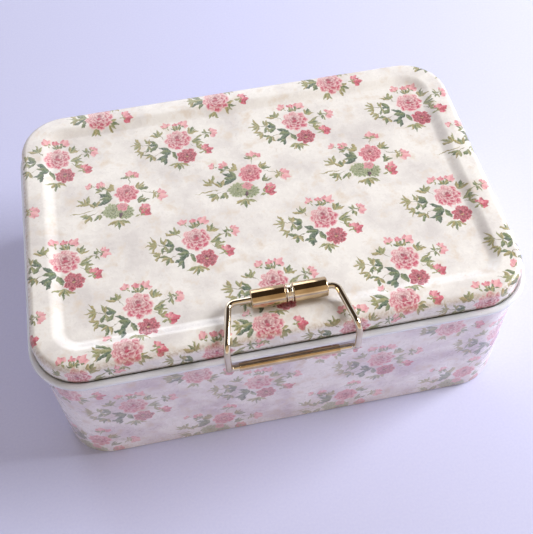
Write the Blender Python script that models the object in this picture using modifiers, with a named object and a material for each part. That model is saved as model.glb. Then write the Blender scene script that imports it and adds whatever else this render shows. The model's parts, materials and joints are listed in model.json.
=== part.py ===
"""Metal lunch box: a printed tin with a lid on two rear hinges and a wire bail clasp at the front.

Metres, +Z up. The front faces -Y and the origin is on the table, under the middle of the tin.
Profiles are pairs of (outset, height), where outset is measured outwards from the tin's wall.
"""

from math import acos, asin, atan2, cos, degrees, hypot, pi, radians, sin

import bmesh
import bpy
from mathutils import Matrix, Vector

# Driving dimensions
RIM_LENGTH = 0.195  # left to right, over the rolled rim
RIM_WIDTH = 0.135  # front to back, over the rolled rim
LID_TOP = 0.073
RIM_OUTSET = 0.0025  # how far the rolled rim stands out of the wall
RIM_HEIGHT = 0.0627  # middle of the rolled rim
CORNER_RADIUS = 0.019  # of the wall, seen from above
SHEET = 0.0004  # tinplate
FIT = 0.0003  # gap between pieces that touch
RUNNING_FIT = 0.0001  # gap round a piece that turns
CORNER_STEPS = 8

# The tin's body
WALL_LENGTH = RIM_LENGTH - 2 * RIM_OUTSET
WALL_WIDTH = RIM_WIDTH - 2 * RIM_OUTSET
RIM_RADIUS = (RIM_OUTSET + SHEET) / 2
CURL_END = -110  # degrees round the rim's section, where the rolled edge stops
HEM_RADIUS = 0.0015
HEM_WIDTH = 0.0040
BOTTOM_FLANGE = 0.0060
BOTTOM_STEP = (0.0046, 0.0056)  # insets between which the bottom panel drops to the table
COLLAR_BOTTOM = 0.0602
COLLAR_TOP = 0.0670

# The lid
LID_BOTTOM = RIM_HEIGHT + RIM_RADIUS + FIT
LID_EDGE_RADIUS = 0.0029
PANEL_BORDER = 0.0080  # inset at which the lid's border ends
PANEL_SLOPE = 0.0056
PANEL_DEPTH = 0.0019

# The clasp
WIRE_RADIUS = 0.00125
KNUCKLE_RADIUS = 0.0016
KNUCKLE_LEFT = -0.0205
KNUCKLE_RIGHT = 0.0183
CLASP_AXIS = Vector((0, -(WALL_WIDTH / 2 + FIT + KNUCKLE_RADIUS), 0.0574))
WIRE_END = 0.0130
LEG_X = 0.0246
LEG_Y = CLASP_AXIS.y - 0.0023
LEG_START = 0.0614  # height at which the legs stand upright
ARM_X = 0.0207  # where the arms meet the grip's line
GRIP_RADIUS = 0.00375
GRIP_HALF = 0.0146
GRIP_X = 0.0024  # the grip slides on its wire and lies right of the middle
GRIP_Y = -0.0495
GRIP_Z = LID_TOP - PANEL_DEPTH + FIT + GRIP_RADIUS
CORE_RADIUS = 0.0022
RING_HALF = 0.0013
RING_GROOVE = 0.00035
TAB_X = 0.0120
TAB_HALF = 0.0035
TAB_THICK = 0.0007
CLINCH_DROP = 0.0040

# The hinges
HINGE_X = 0.0550
HINGE_HALF = 0.0130
MIDDLE_HALF = 0.0047  # half the lid leaf's knuckle
LEAF = 0.0005
HINGE_RADIUS = 0.0016
HINGE_AXIS = Vector((0, RIM_WIDTH / 2 + FIT + HINGE_RADIUS, 0.0630))
PIN_RADIUS = 0.0008
PIN_HEAD = (0.0014, 0.0006)  # radius and thickness
LEAF_Y = WALL_WIDTH / 2 + FIT + LEAF / 2
BASE_LEAF = (0.0480, 0.0586)  # lowest point and bend of the base leaf
LID_LEAF = (0.0706, 0.0662)  # highest point and bend of the lid leaf
LEAF_NOTCH = (0.0602, 0.0652)  # where the base leaf and the lid leaf are notched
CURL_TURN = 270  # degrees that a leaf wraps round its pin
RIVET_X = 0.0080
BASE_RIVET_Z = 0.0525
LID_RIVET_Z = 0.0686
RIVET_SHANK = 0.0008
RIVET_HEAD = (0.0013, 0.0007)  # radius and height


def clear_scene():
    for obj in list(bpy.data.objects):
        bpy.data.objects.remove(obj, do_unlink=True)


def new_collection(name):
    collection = bpy.data.collections.new(name)
    bpy.context.scene.collection.children.link(collection)
    return collection


def new_material(name, colour, roughness, metallic):
    material = bpy.data.materials.new(name)
    material.use_nodes = True
    shader = material.node_tree.nodes["Principled BSDF"]
    shader.inputs["Base Color"].default_value = (*colour, 1)
    shader.inputs["Roughness"].default_value = roughness
    shader.inputs["Metallic"].default_value = metallic
    return material


clear_scene()
PARTS = new_collection("metal_lunch_box")
CUTTERS = new_collection("cutters")
PRINTED_TIN = new_material("printed_tin", (0.80, 0.77, 0.74), 0.32, 0.0)
LACQUERED_TIN = new_material("lacquered_tin", (0.78, 0.76, 0.70), 0.35, 1.0)
CLASP_METAL = new_material("clasp_metal", (0.80, 0.70, 0.58), 0.12, 1.0)
HINGE_STEEL = new_material("hinge_steel", (0.62, 0.61, 0.58), 0.30, 1.0)


# Shared shapes


def arc(centre, radius, start, end, steps):
    """Points on a circle from one angle to another, in degrees."""
    angles = [radians(start + (end - start) * i / steps) for i in range(steps + 1)]
    return [(centre[0] + radius * cos(a), centre[1] + radius * sin(a)) for a in angles]


def add_object(name, mesh, material=None, collection=PARTS):
    obj = bpy.data.objects.new(name, mesh)
    collection.objects.link(obj)
    if material:
        mesh.materials.append(material)
    return obj


def mesh_from(bm, name):
    bmesh.ops.recalc_face_normals(bm, faces=bm.faces[:])
    mesh = bpy.data.meshes.new(name)
    bm.to_mesh(mesh)
    bm.free()
    mesh.shade_smooth()
    mesh.set_sharp_from_angle(angle=radians(35))
    return mesh


def profile_edges(bm, points, closed):
    verts = [bm.verts.new(point) for point in points]
    ends = verts[1:] + verts[:1] if closed else verts[1:]
    return [bm.edges.new(pair) for pair in zip(verts, ends)]


def round_the_tin(profile, closed, filled=False):
    """Carry a profile once round the tin: a quarter turn at each corner, then a straight side."""
    half_x = WALL_LENGTH / 2 - CORNER_RADIUS
    half_y = WALL_WIDTH / 2 - CORNER_RADIUS
    bm = bmesh.new()
    front = -WALL_WIDTH / 2
    edges = profile_edges(bm, [(half_x, front - out, z) for out, z in profile], closed)
    corners = [(half_x, -half_y), (half_x, half_y), (-half_x, half_y), (-half_x, -half_y)]
    for (x, y), (next_x, next_y) in zip(corners, corners[1:] + corners[:1]):
        geometry = edges + list({vert for edge in edges for vert in edge.verts})
        turned_edges = bmesh.ops.spin(
            bm, geom=geometry, cent=(x, y, 0), axis=(0, 0, 1), angle=pi / 2, steps=CORNER_STEPS
        )["geom_last"]
        edges = [item for item in turned_edges if isinstance(item, bmesh.types.BMEdge)]
        side = bmesh.ops.extrude_edge_only(bm, edges=edges)["geom"]
        verts = [item for item in side if isinstance(item, bmesh.types.BMVert)]
        bmesh.ops.translate(bm, verts=verts, vec=(next_x - x, next_y - y, 0))
        edges = [item for item in side if isinstance(item, bmesh.types.BMEdge)]
        edges = [edge for edge in edges if edge.is_boundary and set(edge.verts) <= set(verts)]
    bmesh.ops.remove_doubles(bm, verts=bm.verts[:], dist=1e-6)
    if filled:
        last = profile[-1]
        rim = [edge for edge in bm.edges if edge.is_boundary]
        inner = [edge for edge in rim if all(abs(v.co.z - last[1]) < 1e-6 for v in edge.verts)]
        bmesh.ops.contextual_create(bm, geom=inner)
    return bm


def thicken(obj, thickness, offset):
    modifier = obj.modifiers.new("thickness", "SOLIDIFY")
    modifier.thickness = thickness
    modifier.offset = offset
    modifier.use_even_offset = True


def cut(obj, cutters, operation="DIFFERENCE"):
    for cutter in cutters:
        modifier = obj.modifiers.new(cutter.name, "BOOLEAN")
        modifier.operation = operation
        modifier.object = cutter


def hide_cutter(obj):
    obj.hide_render = True
    obj.display_type = "WIRE"
    return obj


def box_cutter(name, low, high):
    bm = bmesh.new()
    bmesh.ops.create_cube(bm, size=1)
    size = Vector(high) - Vector(low)
    bmesh.ops.scale(bm, vec=size, verts=bm.verts[:])
    bmesh.ops.translate(bm, vec=(Vector(low) + Vector(high)) / 2, verts=bm.verts[:])
    return hide_cutter(add_object(name, mesh_from(bm, name), collection=CUTTERS))


def hole_cutter(name, centre, radius, depth):
    """A round cutter along Y."""
    bm = bmesh.new()
    bmesh.ops.create_cone(bm, cap_ends=True, segments=16, radius1=radius, radius2=radius, depth=depth)
    obj = hide_cutter(add_object(name, mesh_from(bm, name), collection=CUTTERS))
    obj.location = centre
    obj.rotation_euler = (pi / 2, 0, 0)
    return obj


def turned(name, profile, closed, place, rotation, material, steps=20):
    """A turned piece: a profile of (radius, height) pairs, spun with a Screw modifier."""
    bm = bmesh.new()
    profile_edges(bm, [(radius, 0, height) for radius, height in profile], closed)
    mesh = bpy.data.meshes.new(name)
    bm.to_mesh(mesh)
    bm.free()
    obj = add_object(name, mesh, material)
    screw = obj.modifiers.new("turn", "SCREW")
    screw.steps = steps
    screw.render_steps = steps
    screw.use_merge_vertices = True
    screw.merge_threshold = 1e-5
    screw.use_smooth_shade = True
    obj.location = place
    obj.rotation_euler = rotation
    return obj


ALONG_X = (0, pi / 2, 0)  # turns a piece's own Z to +X
TO_THE_BACK = (-pi / 2, 0, 0)  # turns a piece's own Z to +Y


# The tin's body


def make_base_wall():
    """The printed wall: hemmed under at the bottom, its top edge rolled outwards into the rim."""
    rim = (RIM_OUTSET - RIM_RADIUS, RIM_HEIGHT)
    hem = (-HEM_RADIUS, HEM_RADIUS)
    profile = arc(hem, HEM_RADIUS, -90, 0, 4)
    profile += arc(rim, RIM_RADIUS - SHEET, 180, CURL_END, 12)
    profile += arc(rim, RIM_RADIUS, CURL_END, 180, 12)
    profile += arc(hem, HEM_RADIUS - SHEET, 0, -90, 4)
    profile += [(-HEM_WIDTH, SHEET), (-HEM_WIDTH, 0)]
    mesh = mesh_from(round_the_tin(profile, closed=True), "base_wall")
    return add_object("base_wall", mesh, PRINTED_TIN)


def make_base_collar():
    """The upright band inside the wall, over which the lid's skirt closes."""
    outer = -(SHEET + FIT)
    inner = outer - SHEET
    profile = [(outer, COLLAR_BOTTOM), (outer, COLLAR_TOP), (inner, COLLAR_TOP), (inner, COLLAR_BOTTOM)]
    mesh = mesh_from(round_the_tin(profile, closed=True), "base_collar")
    return add_object("base_collar", mesh, LACQUERED_TIN)


def make_base_bottom():
    """The bottom pan: a flange up the wall's inside, and a panel that steps down to the table."""
    lift = SHEET + FIT
    profile = [(-lift, BOTTOM_FLANGE)]
    profile += arc((-HEM_RADIUS, HEM_RADIUS), HEM_RADIUS - lift, 0, -90, 4)
    profile += [(-BOTTOM_STEP[0], lift), (-BOTTOM_STEP[1], 0)]
    mesh = mesh_from(round_the_tin(profile, closed=False, filled=True), "base_bottom")
    obj = add_object("base_bottom", mesh, LACQUERED_TIN)
    thicken(obj, SHEET, -1)
    return obj


def make_lid_shell():
    """The lid: skirt, rounded edge, flat border and a shallow sunk panel."""
    profile = [(0, LID_BOTTOM)]
    profile += arc((-LID_EDGE_RADIUS, LID_TOP - LID_EDGE_RADIUS), LID_EDGE_RADIUS, 0, 90, 5)
    steps = 5
    for i in range(steps + 1):
        t = i / steps
        fall = 3 * t**2 - 2 * t**3
        profile.append((-(PANEL_BORDER + PANEL_SLOPE * t), LID_TOP - PANEL_DEPTH * fall))
    mesh = mesh_from(round_the_tin(profile, closed=False, filled=True), "lid_shell")
    obj = add_object("lid_shell", mesh, PRINTED_TIN)
    thicken(obj, SHEET, -1)
    return obj


# The clasp


def make_clasp_knuckle():
    """The sleeve that the wire turns in. Its two tabs go through the wall and are clinched inside."""
    bore = WIRE_RADIUS + RUNNING_FIT
    profile = [
        (KNUCKLE_RADIUS, KNUCKLE_RIGHT),
        (KNUCKLE_RADIUS, KNUCKLE_LEFT),
        (bore, KNUCKLE_LEFT),
        (bore, KNUCKLE_RIGHT),
    ]
    sleeve = turned("clasp_knuckle", profile, True, CLASP_AXIS, ALONG_X, CLASP_METAL)
    front = CLASP_AXIS.y + (bore + KNUCKLE_RADIUS) / 2
    inside = -WALL_WIDTH / 2 + SHEET + FIT
    back = inside + SHEET
    low = CLASP_AXIS.z - TAB_THICK / 2
    high = CLASP_AXIS.z + TAB_THICK / 2
    for side in (-1, 1):
        left = side * TAB_X - TAB_HALF
        right = side * TAB_X + TAB_HALF
        tab = box_cutter(f"tab_{side}", (left, front, low), (right, back, high))
        clinch = box_cutter(f"clinch_{side}", (left, inside, high - CLINCH_DROP), (right, back, high))
        cut(sleeve, [tab, clinch], "UNION")
    return sleeve


def tab_slots():
    low = CLASP_AXIS.z - TAB_THICK / 2 - FIT
    high = CLASP_AXIS.z + TAB_THICK / 2 + FIT
    wall = -WALL_WIDTH / 2
    slots = []
    for side in (-1, 1):
        left = side * TAB_X - TAB_HALF - FIT
        right = side * TAB_X + TAB_HALF + FIT
        slots.append(box_cutter(f"slot_{side}", (left, wall - 0.001, low), (right, wall + 0.001, high)))
    return slots


def rounded_path(corners, steps=5):
    """A path through corner points, each given with the radius of its bend."""
    points = [Vector(corners[0][0])]
    for (before, _), (here, radius), (after, _) in zip(corners, corners[1:], corners[2:]):
        here = Vector(here)
        back = (Vector(before) - here).normalized()
        onward = (Vector(after) - here).normalized()
        half = acos(max(-1.0, min(1.0, back.dot(onward)))) / 2
        middle = here + (back + onward).normalized() * (radius / sin(half))
        start = here + back * (radius * cos(half) / sin(half)) - middle
        turn = pi - 2 * half
        axis = back.cross(onward).normalized()
        for i in range(steps + 1):
            points.append(middle + Matrix.Rotation(-turn * i / steps, 3, axis) @ start)
    points.append(Vector(corners[-1][0]))
    return points


def make_clasp_bail():
    """One wire: both ends in the knuckle, up in front of the rim, and back over the lid's edge."""
    right = [
        ((WIRE_END, CLASP_AXIS.y, CLASP_AXIS.z), 0),
        ((LEG_X, CLASP_AXIS.y, CLASP_AXIS.z), 0.0024),
        ((LEG_X, LEG_Y, LEG_START), 0.0040),
        ((LEG_X, LEG_Y, GRIP_Z), 0.0040),
        ((ARM_X, GRIP_Y, GRIP_Z), 0.0030),
    ]
    left = [((-x, y, z), radius) for (x, y, z), radius in reversed(right)]
    points = rounded_path(right + left)
    curve = bpy.data.curves.new("clasp_bail", "CURVE")
    curve.dimensions = "3D"
    curve.bevel_depth = WIRE_RADIUS
    curve.bevel_resolution = 4
    curve.use_fill_caps = True
    spline = curve.splines.new("POLY")
    spline.points.add(len(points) - 1)
    for point, place in zip(spline.points, points):
        point.co = (*(place - CLASP_AXIS), 1)
    curve.materials.append(CLASP_METAL)
    obj = bpy.data.objects.new("clasp_bail", curve)
    PARTS.objects.link(obj)
    obj.location = CLASP_AXIS
    return obj


def make_grip():
    """A core with a grooved ring at its middle, and a sleeve on each side of the ring."""
    place = (GRIP_X, GRIP_Y, GRIP_Z)
    bore = WIRE_RADIUS + RUNNING_FIT
    floor = GRIP_RADIUS - 0.0006
    core = [
        (CORE_RADIUS, GRIP_HALF),
        (CORE_RADIUS, RING_HALF),
        (GRIP_RADIUS, RING_HALF),
        (GRIP_RADIUS, RING_GROOVE),
        (floor, RING_GROOVE),
        (floor, -RING_GROOVE),
        (GRIP_RADIUS, -RING_GROOVE),
        (GRIP_RADIUS, -RING_HALF),
        (CORE_RADIUS, -RING_HALF),
        (CORE_RADIUS, -GRIP_HALF),
        (bore, -GRIP_HALF),
        (bore, GRIP_HALF),
    ]
    pieces = [turned("grip_core", core, True, place, ALONG_X, CLASP_METAL, 24)]
    inner = CORE_RADIUS + RUNNING_FIT
    round_end = 0.0006
    start = RING_HALF + FIT
    sleeve = arc((GRIP_RADIUS - round_end, GRIP_HALF - round_end), round_end, 90, 0, 3)
    sleeve += [(GRIP_RADIUS, start), (inner, start), (inner, GRIP_HALF)]
    for name, rotation in (("grip_sleeve_right", ALONG_X), ("grip_sleeve_left", (0, -pi / 2, 0))):
        pieces.append(turned(name, sleeve, True, place, rotation, CLASP_METAL, 24))
    return pieces


# The hinges


def leaf_path(plate_end, bend, wrap):
    """A hinge leaf seen from the side: flat on the tin, then out to the pin and round it."""
    radius = HINGE_RADIUS - LEAF / 2
    to_pin = (HINGE_AXIS.y - LEAF_Y, HINGE_AXIS.z - bend)
    distance = hypot(*to_pin)
    heading = atan2(to_pin[1], to_pin[0]) - wrap * asin(radius / distance)
    start = degrees(heading) - wrap * 90
    path = [(LEAF_Y, plate_end), (LEAF_Y, bend)]
    return path + arc((HINGE_AXIS.y, HINGE_AXIS.z), radius, start, start + wrap * CURL_TURN, 12)


def make_leaf(name, x, path, cutters):
    bm = bmesh.new()
    edges = profile_edges(bm, [(-HINGE_HALF, y, z) for y, z in path], closed=False)
    ribbon = bmesh.ops.extrude_edge_only(bm, edges=edges)["geom"]
    verts = [item for item in ribbon if isinstance(item, bmesh.types.BMVert)]
    bmesh.ops.translate(bm, verts=verts, vec=(2 * HINGE_HALF, 0, 0))
    bmesh.ops.translate(bm, verts=bm.verts[:], vec=-HINGE_AXIS)
    obj = add_object(name, mesh_from(bm, name), HINGE_STEEL)
    obj.location = HINGE_AXIS + Vector((x, 0, 0))
    thicken(obj, LEAF, 0)
    cut(obj, cutters)
    return obj


def make_pin(name, x):
    head_radius, head_thick = PIN_HEAD
    knuckle_end = HINGE_HALF + FIT
    end = knuckle_end + head_thick
    profile = [(0, end), (head_radius, end), (head_radius, knuckle_end), (PIN_RADIUS, knuckle_end)]
    profile += [(radius, -height) for radius, height in reversed(profile)]
    return turned(name, profile, False, HINGE_AXIS + Vector((x, 0, 0)), ALONG_X, HINGE_STEEL, 16)


def make_rivet(name, x, z):
    """A round head outside the leaf, a shank through leaf and tin, and a flat head inside."""
    radius, height = RIVET_HEAD
    outside = LEAF_Y + LEAF / 2 + FIT
    inside = WALL_WIDTH / 2 - SHEET - FIT
    shank = outside - inside
    profile = [(0, shank + height)]
    profile += [(radius * 0.6, shank + height * 0.85), (radius, shank + height * 0.3), (radius, shank)]
    profile += [(RIVET_SHANK, shank), (RIVET_SHANK, 0), (radius, 0), (radius, -SHEET), (0, -SHEET)]
    return turned(name, profile, False, (x, inside, z), TO_THE_BACK, HINGE_STEEL, 12)


def make_hinge(side, x, wall, lid):
    """A hinge of two leaves on a pin, each leaf riveted to the tin in two places."""
    far = 0.010
    base_bend, lid_bend = BASE_LEAF[1], LID_LEAF[1]
    notch = MIDDLE_HALF + FIT
    low, high = HINGE_AXIS.y - far, HINGE_AXIS.y + far
    middle = box_cutter(
        f"{side}_middle", (x - notch, low, LEAF_NOTCH[0]), (x + notch, high, LEAF_NOTCH[0] + far)
    )
    outer = []
    for end in (-1, 1):
        near = x + end * MIDDLE_HALF
        beyond = x + end * (HINGE_HALF + FIT)
        left, right = min(near, beyond), max(near, beyond)
        outer.append(
            box_cutter(f"{side}_end_{end}", (left, low, LEAF_NOTCH[1] - far), (right, high, LEAF_NOTCH[1]))
        )
    base_holes, lid_holes = [], []
    for name, z, holes in (("base", BASE_RIVET_Z, base_holes), ("lid", LID_RIVET_Z, lid_holes)):
        for letter, shift in (("a", -RIVET_X), ("b", RIVET_X)):
            centre = (x + shift, WALL_WIDTH / 2, z)
            holes.append(hole_cutter(f"{side}_{name}_{letter}", centre, RIVET_SHANK + FIT, 0.004))
            make_rivet(f"{side}_{name}_rivet_{letter}", x + shift, z)
    make_leaf(f"{side}_base_leaf", x, leaf_path(BASE_LEAF[0], base_bend, 1), [middle, *base_holes])
    make_leaf(f"{side}_lid_leaf", x, leaf_path(LID_LEAF[0], lid_bend, -1), [*outer, *lid_holes])
    make_pin(f"{side}_hinge_pin", x)
    cut(wall, base_holes)
    cut(lid, lid_holes)


base_wall = make_base_wall()
make_base_collar()
make_base_bottom()
lid_shell = make_lid_shell()
make_clasp_knuckle()
cut(base_wall, tab_slots())
make_clasp_bail()
make_grip()
for hinge_name, hinge_x in (("left", -HINGE_X), ("right", HINGE_X)):
    make_hinge(hinge_name, hinge_x, base_wall, lid_shell)
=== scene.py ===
# %% [markdown]
# # A printed lunch tin
#
# The real box is thin tinplate. A flat sheet is first printed with sprays of roses and varnished. Then it is
# cut, bent round a rounded rectangle, and its edges are rolled or folded. The lid is pressed from a second
# printed sheet. A bright wire clasp holds it shut.
#
# This lesson makes it in the same order: measure the tin, bend the sheets, make the clasp and the hinges,
# and only then print the sheets, with a pattern that is worked out by the shader.

import json
from math import cos, pi, radians, sin

import bmesh
import bpy
import numpy as np
from mathutils import Matrix, Vector

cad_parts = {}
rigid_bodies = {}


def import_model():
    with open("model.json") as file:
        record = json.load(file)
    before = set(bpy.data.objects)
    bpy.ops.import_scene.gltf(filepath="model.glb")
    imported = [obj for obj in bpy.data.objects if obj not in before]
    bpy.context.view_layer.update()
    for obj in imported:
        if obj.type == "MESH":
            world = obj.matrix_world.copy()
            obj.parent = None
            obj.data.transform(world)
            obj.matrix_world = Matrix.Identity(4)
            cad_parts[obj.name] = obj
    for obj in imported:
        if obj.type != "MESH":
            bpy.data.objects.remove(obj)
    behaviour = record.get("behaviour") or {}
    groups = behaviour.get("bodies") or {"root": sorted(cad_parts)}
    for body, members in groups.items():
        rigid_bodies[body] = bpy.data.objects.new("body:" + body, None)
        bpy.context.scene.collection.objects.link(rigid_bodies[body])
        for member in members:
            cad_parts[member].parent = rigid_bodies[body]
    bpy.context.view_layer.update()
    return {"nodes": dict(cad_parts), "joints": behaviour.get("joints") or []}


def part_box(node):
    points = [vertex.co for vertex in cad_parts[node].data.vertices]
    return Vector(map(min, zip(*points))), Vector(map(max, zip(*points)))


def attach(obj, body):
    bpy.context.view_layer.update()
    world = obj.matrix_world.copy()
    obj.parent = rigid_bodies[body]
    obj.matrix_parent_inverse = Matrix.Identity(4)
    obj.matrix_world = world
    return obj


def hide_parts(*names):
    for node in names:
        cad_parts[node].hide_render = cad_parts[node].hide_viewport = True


for old in list(bpy.data.objects):
    bpy.data.objects.remove(old, do_unlink=True)
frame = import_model()

# %% Sizes, read from the measured model
MM = 0.001
WELD = 1e-6
SHEET = 0.4 * MM
CORNER = 19 * MM
wall_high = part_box("base_wall")[1]
lid_low, lid_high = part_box("lid_shell")
HALF_LENGTH, HALF_WIDTH = lid_high.x, lid_high.y
RIM_OUTSET = wall_high.x - HALF_LENGTH
RIM_RADIUS = (RIM_OUTSET + SHEET) / 2
RIM_HEIGHT = wall_high.z - RIM_RADIUS
LID_TOP, LID_BOTTOM = lid_high.z, lid_low.z
LID_EDGE = 2.9 * MM
print(f"tin {2e3 * wall_high.x:.1f} x {2e3 * wall_high.y:.1f} x {1e3 * LID_TOP:.1f} mm")


# %% Put a thing in the scene
def placed(name, data):
    """A new object in the scene, made from a mesh, a curve, a lamp or a camera."""
    obj = bpy.data.objects.new(name, data)
    bpy.context.scene.collection.objects.link(obj)
    return obj


# %% [markdown]
# ## The camera
#
# The camera looks down on the box from the front and a little from the left. It is placed by the point that
# it looks at, its distance, and three angles, because each of those can be changed without the others.

# %% Camera
LOOK_AT = Vector((0.9, -8.4, 35)) * MM
DISTANCE = 374.6 * MM
YAW, PITCH, ROLL = radians(9.07), radians(54.99), radians(-2.6)

camera = placed("camera", bpy.data.cameras.new("camera"))
aim = Matrix.Rotation(-YAW, 3, "Z") @ Matrix.Rotation(pi / 2 - PITCH, 3, "X") @ Matrix.Rotation(ROLL, 3, "Z")
camera.rotation_euler = aim.to_euler()
camera.location = LOOK_AT + aim @ Vector((0, 0, DISTANCE))
camera.data.lens = 57.5
camera.data.clip_start = 0.01
bpy.context.scene.camera = camera
print("camera at", [round(value, 3) for value in camera.location])

# %% [markdown]
# ## Bending sheet metal with Geometry Nodes
#
# A wall, a rolled rim, a collar and a turned sleeve have one thing in common: a section that is carried along
# a path. Geometry Nodes does this with Curve to Mesh. The section could also be drawn at each corner by hand,
# but then every change of its shape would be made many times. Here the path and the section are two curves,
# and one tree joins them.


# %% Curves for paths and sections
def draw_line(name, points, closed=False, radii=None):
    """A curve of straight pieces through points; radii say how each of its corners will be bent."""
    curve = bpy.data.curves.new(name, "CURVE")
    curve.dimensions = "3D"
    spline = curve.splines.new("POLY")
    spline.points.add(len(points) - 1)
    for i, place in enumerate(points):
        spline.points[i].co = (*place, 1)
        spline.points[i].radius = radii[i] if radii else 1
    spline.use_cyclic_u = closed
    return placed(name, curve)


def arc(centre, radius, start, end, steps):
    """Points on a circle between two angles in degrees."""
    angles = [radians(start + (end - start) * i / steps) for i in range(steps + 1)]
    return [(centre[0] + radius * cos(angle), centre[1] + radius * sin(angle)) for angle in angles]


def rounded_outline(steps=24):
    """The tin seen from above, with a point in the middle of the front and of the back."""
    x, y = HALF_LENGTH - CORNER, HALF_WIDTH - CORNER
    points = [(0, -HALF_WIDTH)]
    points += arc((x, -y), CORNER, -90, 0, steps) + arc((x, y), CORNER, 0, 90, steps)
    points += [(0, HALF_WIDTH)]
    points += arc((-x, y), CORNER, 90, 180, steps) + arc((-x, -y), CORNER, 180, 270, steps)
    return [(px, py, 0) for px, py in points]


# %% One tree that carries a section along a path
def new_tree(name, inputs, kind="GeometryNodeTree", result="Geometry"):
    """An empty tree with one result and named inputs, given as (name, kind of socket)."""
    tree = bpy.data.node_groups.new(name, kind)
    tree.interface.new_socket(result, in_out="OUTPUT", socket_type="NodeSocket" + result)
    for label, sort in inputs:
        tree.interface.new_socket(label, in_out="INPUT", socket_type="NodeSocket" + sort)
    return tree


def add(tree, kind, settings=None, inputs=None):
    """Add a node: its settings first, then a value or a link for each of its sockets."""
    node = tree.nodes.new(kind)
    for name, value in (settings or {}).items():
        setattr(node, name, value)
    for name, value in (inputs or {}).items():
        if isinstance(value, bpy.types.NodeSocket):
            tree.links.new(value, node.inputs[name])
        else:
            node.inputs[name].default_value = value
    return node


def end_tree(tree, geometry, material):
    """Every tree ends alike: copies become real faces, and the mesh gets its material."""
    real = add(tree, "GeometryNodeRealizeInstances", inputs={"Geometry": geometry}).outputs[0]
    links = {"Geometry": real, "Material": material}
    painted = add(tree, "GeometryNodeSetMaterial", inputs=links).outputs[0]
    add(tree, "NodeGroupOutput", inputs={"Geometry": painted})
    return tree


def make_sweep_tree():
    """Section X points outwards from the path, and section Y points up."""
    names = [("Path", "Object"), ("Section", "Object"), ("Caps", "Bool"), ("Material", "Material")]
    tree = new_tree("sweep", names)
    given = add(tree, "NodeGroupInput").outputs
    path = add(tree, "GeometryNodeObjectInfo", inputs={"Object": given["Path"]}).outputs["Geometry"]
    upright = add(tree, "GeometryNodeSetCurveNormal", {"mode": "Z_UP"}, {"Curve": path}).outputs[0]
    section = add(tree, "GeometryNodeObjectInfo", inputs={"Object": given["Section"]}).outputs["Geometry"]
    flipped = add(tree, "GeometryNodeTransform", inputs={"Geometry": section, "Scale": (1, -1, 1)}).outputs[0]
    size = add(tree, "GeometryNodeInputRadius").outputs[0]
    links = {"Curve": upright, "Profile Curve": flipped, "Scale": size, "Fill Caps": given["Caps"]}
    swept = add(tree, "GeometryNodeCurveToMesh", inputs=links).outputs[0]
    merged = add(tree, "GeometryNodeMergeByDistance", inputs={"Geometry": swept, "Distance": WELD}).outputs[0]
    return end_tree(tree, merged, given["Material"])


SWEEP = make_sweep_tree()


# %% Turn a tree's result into a plain mesh
def run_tree(name, tree, values, remove=()):
    """Run a tree once, keep its mesh, and remove the modifier and the guide curves."""
    obj = placed(name, bpy.data.meshes.new(name))
    modifier = obj.modifiers.new("nodes", "NODES")
    modifier.node_group = tree
    for item in tree.interface.items_tree:
        if item.in_out == "INPUT" and item.name in values:
            modifier[item.identifier] = values[item.name]
    keep_result(obj)
    for guide in remove:
        bpy.data.objects.remove(guide, do_unlink=True)
    return obj


def keep_result(obj):
    """Swap an object's modifiers for the mesh that they make."""
    graph = bpy.context.evaluated_depsgraph_get()
    mesh = bpy.data.meshes.new_from_object(obj.evaluated_get(graph), depsgraph=graph)
    obj.modifiers.clear()
    obj.data = mesh
    mesh.name = obj.name
    return obj


def outset_of(place):
    """How far a place lies outside the tin's outline, seen from above."""
    beyond_x = max(abs(place.x) - (HALF_LENGTH - CORNER), 0)
    beyond_y = max(abs(place.y) - (HALF_WIDTH - CORNER), 0)
    return Vector((beyond_x, beyond_y)).length - CORNER


def tidy_mesh(obj, smooth=35, fill_panel=False):
    """Faces outwards, the middle panel closed if wanted, and smooth shading except over sharp edges."""
    bm = bmesh.new()
    bm.from_mesh(obj.data)
    bmesh.ops.remove_doubles(bm, verts=bm.verts[:], dist=WELD)
    if fill_panel:
        rims = [edge for edge in bm.edges if edge.is_boundary]
        inner = [edge for edge in rims if outset_of(edge.verts[0].co) < -3 * MM]
        made = bmesh.ops.contextual_create(bm, geom=inner)
        print(f"  closed a panel of {len(inner)} edges with {len(made['faces'])} face")
    bmesh.ops.recalc_face_normals(bm, faces=bm.faces[:])
    bm.to_mesh(obj.data)
    bm.free()
    obj.data.shade_smooth()
    obj.data.set_sharp_from_angle(angle=radians(smooth))
    return obj


def carry(name, section, closed, material, path=None, caps=False, fill_panel=False):
    """Carry a section of (outset, height) points along a path, by default round the tin."""
    route = path or draw_line("route", rounded_outline(), closed=True)
    shape = draw_line("section", [(out, height, 0) for out, height in section], closed)
    values = {"Path": route, "Section": shape, "Caps": caps, "Material": material}
    obj = run_tree(name, SWEEP, values, remove=(route, shape))
    tidy_mesh(obj, fill_panel=fill_panel)
    print(f"{name}: {len(obj.data.polygons)} faces")
    return obj


# %% [markdown]
# ## Finishes
#
# A shader is a long sum. Written as nodes one by one it is hard to read, so a small class holds a socket and
# lets Python's own signs add the Math nodes: `1 - mask` makes a Subtract node. Colours must not go through
# Math nodes, which would turn them grey, so they are mixed with Mix nodes.


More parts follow.
